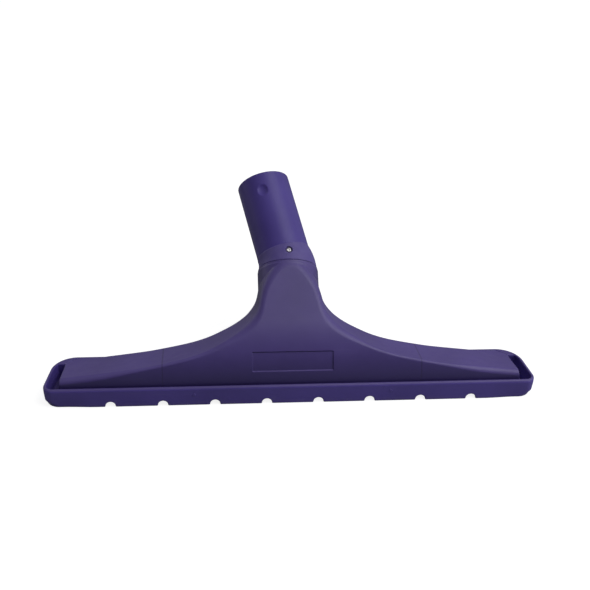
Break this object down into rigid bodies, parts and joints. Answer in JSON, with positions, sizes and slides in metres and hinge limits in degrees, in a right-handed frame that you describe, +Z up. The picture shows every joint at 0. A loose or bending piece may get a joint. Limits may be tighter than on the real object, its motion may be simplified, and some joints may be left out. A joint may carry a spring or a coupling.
{
  "type": "vacuum floor tool",
  "caption": "Wide vacuum floor tool: low winged head in a notched base frame, with a swivelling bent cuff for the wand.",
  "frame": {"origin": "centre of the sole at floor level: mid-width, mid-depth of the base frame", "axes": "+X along the width, -Y towards the notched front edge, +Y towards the neck and wand, +Z up"},
  "size_m": [0.3808, 0.1584, 0.1362],
  "materials": {
    "frame_plastic": "satin moulded polypropylene",
    "head_plastic": "satin moulded polypropylene",
    "cuff_plastic": "satin moulded polypropylene",
    "foam": "closed-cell foam",
    "carrier_plastic": "satin",
    "nylon_pile": "short directional pile",
    "acetal": "smooth natural acetal",
    "nitrile": "smooth",
    "stainless": "bright",
    "zinc_steel": "zinc plated"
  },
  "bodies": {
    "head": {"base_frame": "frame_plastic", "head_cover": "head_plastic", "seal_gasket": "foam", "strip_carrier": "carrier_plastic", "pile_strip": "nylon_pile", "thrust_washer": "acetal", "swivel_o_ring": "nitrile", "sole_screw_1": "zinc_steel", "sole_screw_2": "zinc_steel", "sole_screw_3": "zinc_steel", "sole_screw_4": "zinc_steel", "sole_screw_5": "zinc_steel", "sole_screw_6": "zinc_steel", "sole_screw_7": "zinc_steel", "sole_screw_8": "zinc_steel"},
    "elbow": {"elbow_cuff": "cuff_plastic", "swivel_screw_front": "stainless", "swivel_screw_rear": "stainless"}
  },
  "joints": [
    {"name": "elbow_swivel", "type": "hinge", "parent": "head", "child": "elbow", "pos_m": [0, 0.0596, 0.0726], "axis": [0, 0.7716, 0.6361], "continuous": true}
  ]
}
